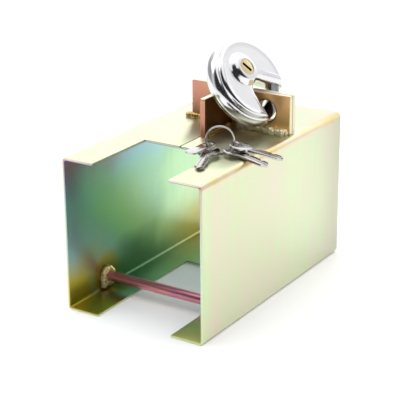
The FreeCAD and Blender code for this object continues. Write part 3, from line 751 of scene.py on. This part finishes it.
def split_ring_tree():
    """Split ring: flat wire wound round itself, then stood along its heading."""
    tree, given, out = new_tree("split_ring", [
        ("Radius", "NodeSocketFloat", 0.01), ("Turns", "NodeSocketFloat", RING_TURNS),
        ("Deep", "NodeSocketFloat", RING_WIRE_DEEP), ("Wide", "NodeSocketFloat", RING_WIRE_WIDE),
        ("Heading", "NodeSocketRotation", None), ("Middle", "NodeSocketVector", None),
        ("Material", "NodeSocketMaterial", None)])
    height = calc(tree, "MULTIPLY", given["Turns"], given["Wide"])
    rise = calc(tree, "SUBTRACT", height, given["Wide"])
    turns = place_node(tree, "GeometryNodeCurveSpiral", {
        "Resolution": RING_STEPS, "Rotations": given["Turns"], "Start Radius": given["Radius"],
        "End Radius": given["Radius"], "Height": rise})
    upright = place_node(tree, "GeometryNodeSetCurveNormal", {"Curve": turns.outputs[0]}, mode="Z_UP")
    strip = place_node(tree, "GeometryNodeCurvePrimitiveQuadrilateral", {
        "Width": given["Deep"], "Height": calc(tree, "MULTIPLY", given["Wide"], WIRE_FILL)})
    strip = place_node(tree, "GeometryNodeFilletCurve", {
        "Curve": strip.outputs[0], "Count": WIRE_ROUND_STEPS,
        "Radius": calc(tree, "MULTIPLY", given["Wide"], WIRE_ROUND)}, mode="POLY")
    wire = place_node(tree, "GeometryNodeCurveToMesh", {
        "Curve": upright.outputs[0], "Profile Curve": strip.outputs[0], "Fill Caps": True})
    middle = add(tree, "ShaderNodeCombineXYZ")
    tree.links.new(calc(tree, "MULTIPLY", rise, -0.5), middle.inputs[2])
    level = place_node(tree, "GeometryNodeTransform", {
        "Geometry": wire.outputs[0], "Translation": middle.outputs[0]})
    stood = place_node(tree, "GeometryNodeTransform", {
        "Geometry": level.outputs[0], "Translation": given["Middle"], "Rotation": given["Heading"]})
    close_tree(tree, stood.outputs[0], given["Material"], out)
    return tree


def grown(name, node, tree, values, paths=()):
    """A piece grown by a geometry tree, from paths of points where it follows some."""
    data = bpy.data.curves.new(name, "CURVE")
    data.dimensions = "3D"
    for points in paths:
        spline = data.splines.new("POLY")
        spline.points.add(len(points) - 1)
        for point, place in zip(spline.points, points):
            point.co = (*place, 1.0)
    source = new_piece(name + "_path", data)
    growth = source.modifiers.new("growth", "NODES")
    growth.node_group = tree
    sockets = {item.name: item.identifier for item in tree.interface.items_tree if item.in_out == "INPUT"}
    for label, value in {**values, "Material": MATERIALS[MATERIAL_OF[node]]}.items():
        growth[sockets[label]] = value
    mesh = shown_mesh(source)
    bpy.data.objects.remove(source)
    dress(new_piece(name, mesh), node)


def round_path(centre, radius, start_deg):
    """Points round an axis along X, a little past a full turn so that the bead's ends overlap."""
    points = []
    for step in range(ROUND_STEPS + 1):
        angle = math.radians(start_deg + ROUND_SWEEP * step / ROUND_STEPS)
        points.append(centre + Vector((0, math.cos(angle), math.sin(angle))) * radius)
    return points


def foot_path(start, end, wander, phase):
    """A hand-laid line between two points, with a small wander."""
    points = []
    for step in range(FOOT_STEPS + 1):
        sway = Vector((math.sin(step * SWAY[0] + phase), math.cos(step * SWAY[1] + phase),
                       math.sin(step * SWAY[2] + phase)))
        points.append(Vector(start).lerp(Vector(end), step / FOOT_STEPS) + sway * wander)
    return points


WELD = weld_tree()
low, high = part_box("right_lug_weld")
rear, front, level = high.y - TUCK, low.y + TUCK, low.z + LIFT
grown("right_lug_bead", "right_lug_weld", WELD, {"Radius": 0.0029, "Uneven": 0.9, "Seed": 3.0}, [
    foot_path((low.x, rear, level), (high.x - LUG_REAR_STOP, rear, level), wander=0.0003, phase=0.4),
    foot_path((high.x - LUG_FRONT_START, front, level), (high.x - LUG_FRONT_STOP, front, level),
              wander=0.0005, phase=0.4)])

low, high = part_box("guard_weld")
side, level = low.x + TUCK, low.z + TUCK
grown("guard_bead", "guard_weld", WELD, {"Radius": BEAD_R, "Uneven": 0.6, "Seed": 8.0}, [
    foot_path((side, low.y, level), (side, high.y, level), wander=0.0002, phase=1.1)])

low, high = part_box("left_lug_weld")
rear, level = high.y - TUCK, low.z + TUCK
grown("left_lug_bead", "left_lug_weld", WELD, {"Radius": BEAD_R, "Uneven": 0.6, "Seed": 5.0}, [
    foot_path((low.x, rear, level), (high.x, rear, level), wander=0.0002, phase=2.3)])

# Round the rod at the left wall, with a run of weld from there down to the flange
low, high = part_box("retaining_rod")
rod_at = Vector((low.x, (low.y + high.y) / 2, (low.z + high.z) / 2))
rod_r = (high.z - low.z) / 2
ring_at = rod_at + Vector((RING_LIFT, 0, 0))
run_start = ring_at + Vector((0, -rod_r - TUCK, 0))
run_end = ring_at + Vector((0, -rod_r - ROD_RUN_OUT, ROD_RUN_FOOT - rod_at.z))
grown("rod_bead", "rod_weld", WELD, {"Radius": 0.0028, "Uneven": 0.8, "Seed": 1.0}, [
    round_path(ring_at, rod_r + TUCK, start_deg=200),
    foot_path(run_start, run_end, wander=0.0002, phase=0.7)])

low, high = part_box("rod_socket")
socket_at = Vector((high.x - SOCKET_TUCK, rod_at.y, rod_at.z))
grown("socket_bead", "socket_weld", WELD, {"Radius": 0.0016, "Uneven": 0.5, "Seed": 6.0}, [
    round_path(socket_at, (high.z - low.z) / 2 + SOCKET_OUT, start_deg=20)])

low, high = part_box("key_ring")
grown("split_ring_wire", "key_ring", split_ring_tree(), {
    "Radius": (high.z - low.z) / 2 - RING_WIRE_DEEP / 2,
    "Heading": (math.radians(90), 0, RING_HEADING), "Middle": (low + high) / 2})

for node, shape in frame["nodes"].items():
    if not shape.hide_render:
        shape.data.materials.clear()
        shape.data.materials.append(MATERIALS[MATERIAL_OF[node]])


# Surroundings that the metal mirrors: which way each tone lies, and how bright they are on the way there
DARK_SIDE = Vector((0.50, -0.82, 0.26)).normalized()
DARKER = (0.16, 0.48, 1.0, 0.03)
BRIGHT_SIDE = Vector((-0.40, 0.70, 0.50)).normalized()
BRIGHTER = (0.4, 0.95, 0.0, 0.6)
GREY_SIDE = Vector((-1.0, 0.0, 0.05)).normalized()
GREYER = (0.70, 0.95, 1.0, 0.4)
LIGHT_ON_PAPER = 1.1
SEEN_WHITE = 1.0

# Floor paper and the soft lights: name, place, size and power
FLOOR_SIZE = 8
PAPER_WHITE = (0.97, 0.97, 0.97, 1)
PAPER_ROUGH = 0.7
LAMPS = (
    ("over_light", (0.25, -0.1, 1.3), 1.2, 5),
    ("left_light", (-0.9, -0.3, 1.1), 0.8, 3.2),
)


def surroundings():
    """White all round to the eye and for the floor; what the metal mirrors is darker towards the front."""
    world = bpy.data.worlds.new("studio")
    world.use_nodes = True
    bpy.context.scene.world = world
    tree = world.node_tree
    around = add(tree, "ShaderNodeTexCoord").outputs["Generated"]
    path = add(tree, "ShaderNodeLightPath").outputs
    shade = span(tree, measured(tree, "DOT_PRODUCT", around, DARK_SIDE), *DARKER)
    behind = span(tree, measured(tree, "DOT_PRODUCT", around, BRIGHT_SIDE), *BRIGHTER)
    aside = span(tree, measured(tree, "DOT_PRODUCT", around, GREY_SIDE), *GREYER)
    shade = calc(tree, "MULTIPLY", calc(tree, "ADD", shade, behind), aside)
    shade = blend_value(tree, path["Is Diffuse Ray"], shade, LIGHT_ON_PAPER)
    shade = blend_value(tree, path["Is Camera Ray"], shade, SEEN_WHITE)
    sky = tree.nodes["Background"]
    tree.links.new(shade, sky.inputs["Strength"])
    sky.inputs["Color"].default_value = (1, 1, 1, 1)


def studio():
    """Pale floor and large soft lights."""
    bpy.ops.mesh.primitive_plane_add(size=FLOOR_SIZE)
    floor = bpy.context.object
    floor.name = "floor"
    material, _, shader, _ = new_material("floor_paper", 0.0)
    shader.inputs["Base Color"].default_value = PAPER_WHITE
    shader.inputs["Roughness"].default_value = PAPER_ROUGH
    floor.data.materials.append(material)

    for name, place, size, power in LAMPS:
        light = bpy.data.lights.new(name, "AREA")
        light.size = size
        light.energy = power
        lamp = bpy.data.objects.new(name, light)
        lamp.location = place
        aim = Vector((0, 0, TOP / 2)) - Vector(place)
        lamp.rotation_euler = aim.to_track_quat("-Z", "Y").to_euler()
        bpy.context.scene.collection.objects.link(lamp)


def photo_camera():
    """Camera at the photograph's place and angle."""
    flat = math.cos(CAMERA_ELEVATION)
    back = Vector((math.sin(CAMERA_AZIMUTH) * flat, -math.cos(CAMERA_AZIMUTH) * flat,
                   math.sin(CAMERA_ELEVATION)))
    right = Vector((math.cos(CAMERA_AZIMUTH), math.sin(CAMERA_AZIMUTH), 0))
    up = back.cross(right)
    level_right = right * math.cos(CAMERA_ROLL) + up * math.sin(CAMERA_ROLL)
    level_up = up * math.cos(CAMERA_ROLL) - right * math.sin(CAMERA_ROLL)
    aim = Vector((LEFT + WIDTH / 2, FRONT + AIM_BEHIND_FRONT, TOP / 2))
    place = aim + back * CAMERA_DISTANCE + level_right * AIM_RIGHT + level_up * AIM_RISE
    data = bpy.data.cameras.new("photo_camera")
    data.sensor_width = SENSOR_MM
    data.lens = FOCAL_PIXELS / PICTURE_PIXELS * SENSOR_MM
    camera = bpy.data.objects.new("photo_camera", data)
    turned = Matrix((level_right, level_up, back)).transposed().to_4x4()
    camera.matrix_world = Matrix.Translation(place) @ turned
    bpy.context.scene.collection.objects.link(camera)
    bpy.context.scene.camera = camera


surroundings()
studio()
photo_camera()
bpy.context.scene.view_settings.view_transform = "Standard"
